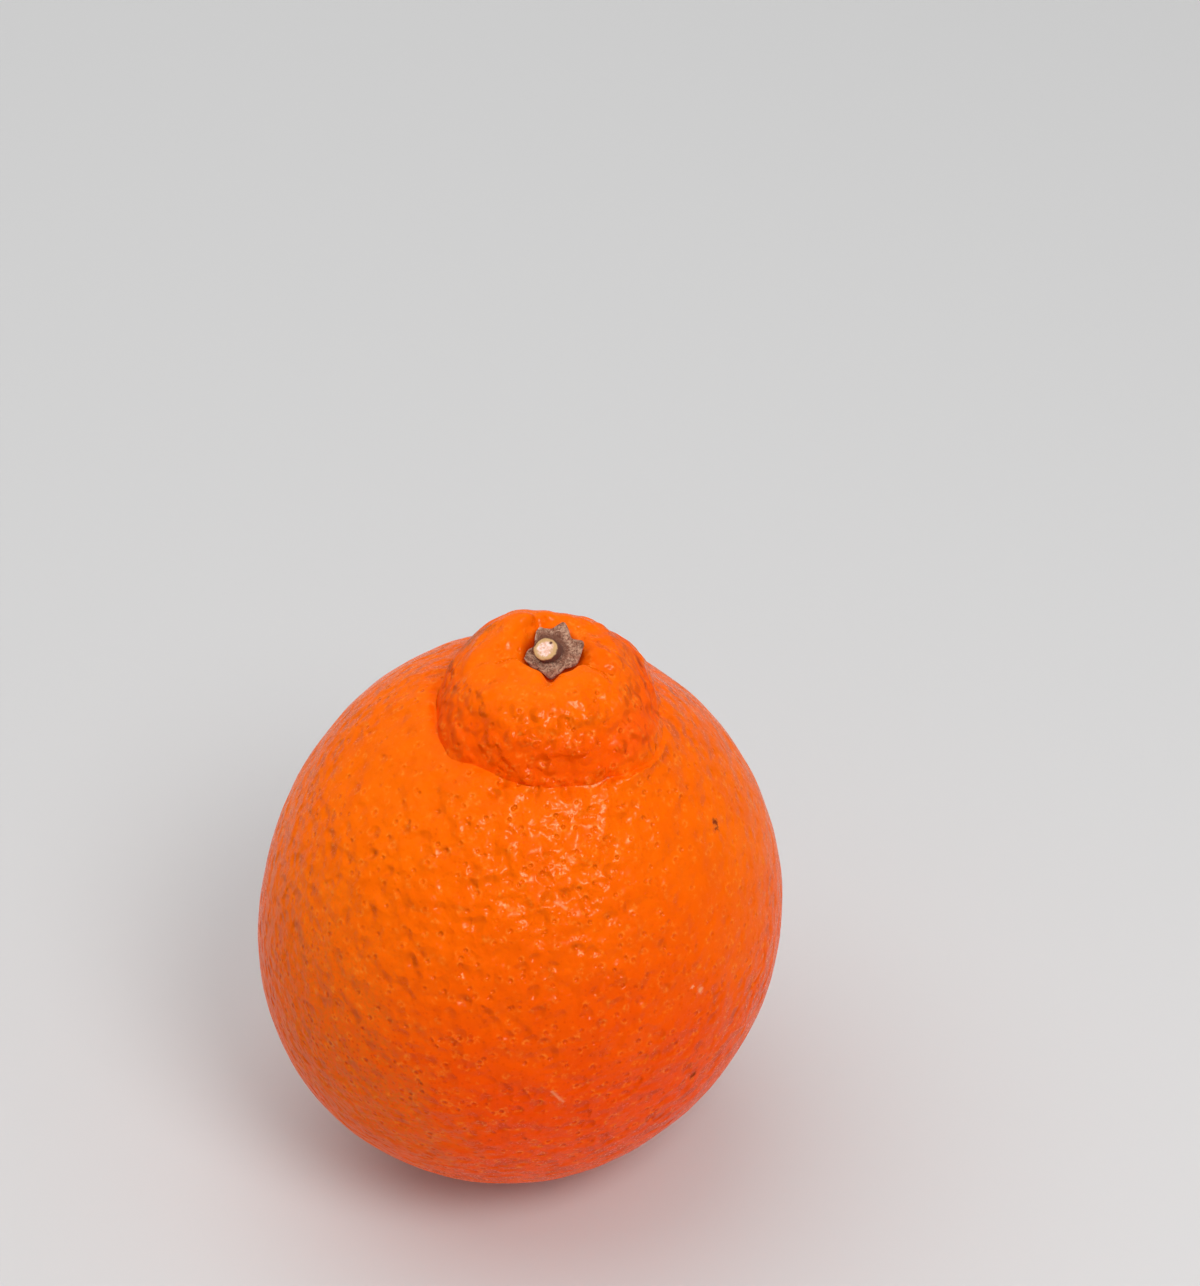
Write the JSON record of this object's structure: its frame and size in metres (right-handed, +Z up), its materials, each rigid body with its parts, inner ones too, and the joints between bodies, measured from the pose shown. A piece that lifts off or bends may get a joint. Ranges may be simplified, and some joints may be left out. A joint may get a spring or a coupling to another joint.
{
  "type": "tangelo",
  "caption": "Fresh tangelo, bell-shaped, with a knobbly neck, a dry star-shaped calyx and a clipped stem stub; it stands upright on a small flat spot.",
  "frame": {"origin": "on the surface that the fruit stands on, under the middle of its width and depth", "axes": "+Z up, from the blossom end to the stem; -Y is the front, the side that the stem stub leans to; +X is right"},
  "size_m": [0.0794, 0.0792, 0.0952],
  "materials": {
    "rind": "satin",
    "calyx": "matte",
    "stem": "matte"
  },
  "bodies": {
    "root": {"fruit": "rind", "calyx": "calyx", "stem_stub": "stem"}
  },
  "joints": []
}
